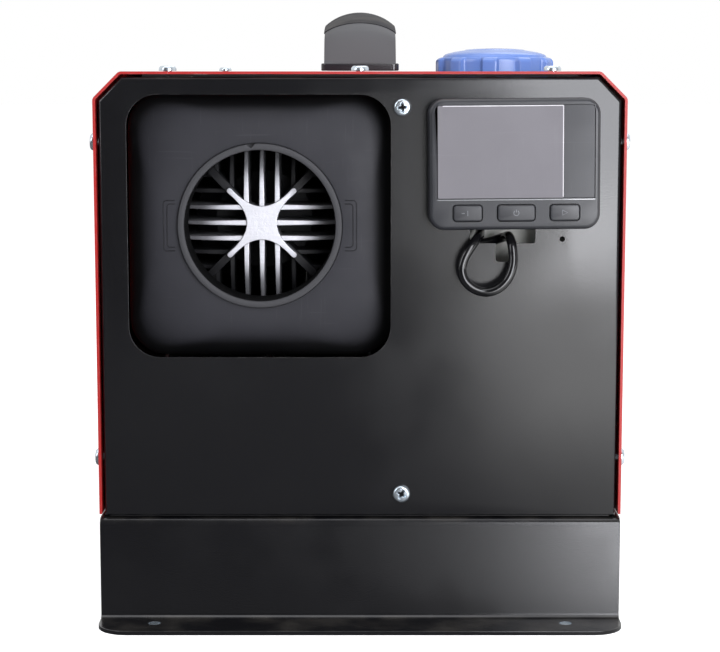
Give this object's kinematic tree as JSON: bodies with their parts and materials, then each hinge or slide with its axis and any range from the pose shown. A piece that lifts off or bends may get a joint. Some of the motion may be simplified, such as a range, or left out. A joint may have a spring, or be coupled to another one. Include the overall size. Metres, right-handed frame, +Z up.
{
  "type": "diesel air heater",
  "caption": "Portable diesel air heater: sheet-metal case on a low stand, round hot air outlet, display with buttons, carrying handle and turning fuel cap.",
  "frame": {"origin": "centre of the footprint, on the ground", "axes": "+Z up, -Y towards the front with the hot air outlet and the display, +X to the right seen from the front"},
  "size_m": [0.245, 0.446, 0.2848],
  "materials": {
    "red_paint": "satin powder coat",
    "black_paint": "fine textured powder coat",
    "galvanised_sheet": "dull zinc",
    "zinc_screw": "bright zinc plate",
    "black_plastic": "satin moulded",
    "cast_aluminium": "as cast",
    "steel": "plain",
    "circuit_board": "solder mask",
    "rubber": "smooth",
    "milky_plastic": "translucent",
    "blue_plastic": "satin moulded",
    "grey_plastic": "satin moulded",
    "gloss_plastic": "polished",
    "clear_film": "hazy protective film"
  },
  "bodies": {
    "case": {"outer_shell": "red_paint", "front_panel": "black_paint", "rear_panel": "black_paint", "floor_tray": "black_paint", "base_stand": "black_paint", "partition_plate": "galvanised_sheet", "heater_shelf": "galvanised_sheet", "top_screw_front_1": "zinc_screw", "top_screw_front_2": "zinc_screw", "top_screw_front_3": "zinc_screw", "top_screw_rear_1": "zinc_screw", "top_screw_rear_2": "zinc_screw", "top_screw_rear_3": "zinc_screw", "left_screw_front_1": "zinc_screw", "left_screw_front_2": "zinc_screw", "left_screw_rear_1": "zinc_screw", "left_screw_rear_2": "zinc_screw", "right_screw_front_1": "zinc_screw", "right_screw_front_2": "zinc_screw", "right_screw_rear_1": "zinc_screw", "right_screw_rear_2": "zinc_screw", "panel_screw_front_1": "zinc_screw", "panel_screw_front_2": "zinc_screw", "panel_screw_rear_1": "zinc_screw", "panel_screw_rear_2": "zinc_screw", "outlet_hood": "black_plastic", "outlet_collar": "black_plastic", "heater_jacket_upper": "black_plastic", "heater_jacket_lower": "black_plastic", "inlet_cowl": "black_plastic", "air_intake_pipe": "black_plastic", "display_back": "black_plastic", "power_gland": "black_plastic", "heat_exchanger": "cast_aluminium", "blower_body": "cast_aluminium", "burner_tube": "steel", "blower_motor": "steel", "exhaust_pipe": "steel", "fuel_pump": "steel", "control_board": "circuit_board", "mounting_gasket": "rubber", "pump_clamp": "rubber", "suction_hose": "rubber", "pump_hose": "rubber", "delivery_hose": "rubber", "display_lead": "rubber", "fuel_tank": "milky_plastic", "fuel_filter": "milky_plastic", "carry_handle": "grey_plastic", "display_bezel": "gloss_plastic", "display_window": "gloss_plastic", "window_film": "clear_film"},
    "rotor": {"fan_wheel": "black_plastic", "combustion_wheel": "cast_aluminium", "motor_shaft": "steel"},
    "button_down": {"button_down": "gloss_plastic"},
    "button_power": {"button_power": "gloss_plastic"},
    "button_up": {"button_up": "gloss_plastic"},
    "cap_carrier": {"cap_seal": "rubber"},
    "cap": {"fuel_cap": "blue_plastic"}
  },
  "joints": [
    {"name": "rotor_spin", "type": "hinge", "parent": "case", "child": "rotor", "pos_m": [-0.0456, 0.1, 0.1832], "axis": [0, 1, 0], "continuous": true},
    {"name": "button_down_press", "type": "slide", "parent": "case", "child": "button_down", "axis": [0, 1, 0], "range_m": [0, 0.0006], "stiffness_N_per_m": 400},
    {"name": "button_power_press", "type": "slide", "parent": "case", "child": "button_power", "axis": [0, 1, 0], "range_m": [0, 0.0006], "stiffness_N_per_m": 400},
    {"name": "button_up_press", "type": "slide", "parent": "case", "child": "button_up", "axis": [0, 1, 0], "range_m": [0, 0.0006], "stiffness_N_per_m": 400},
    {"name": "cap_lift", "type": "slide", "parent": "case", "child": "cap_carrier", "axis": [0, 0, 1], "range_m": [0, 0.06]},
    {"name": "cap_turn", "type": "hinge", "parent": "cap_carrier", "child": "cap", "pos_m": [0.0695, -0.063, 0.253], "axis": [0, 0, 1], "range_deg": [0, 540]}
  ]
}
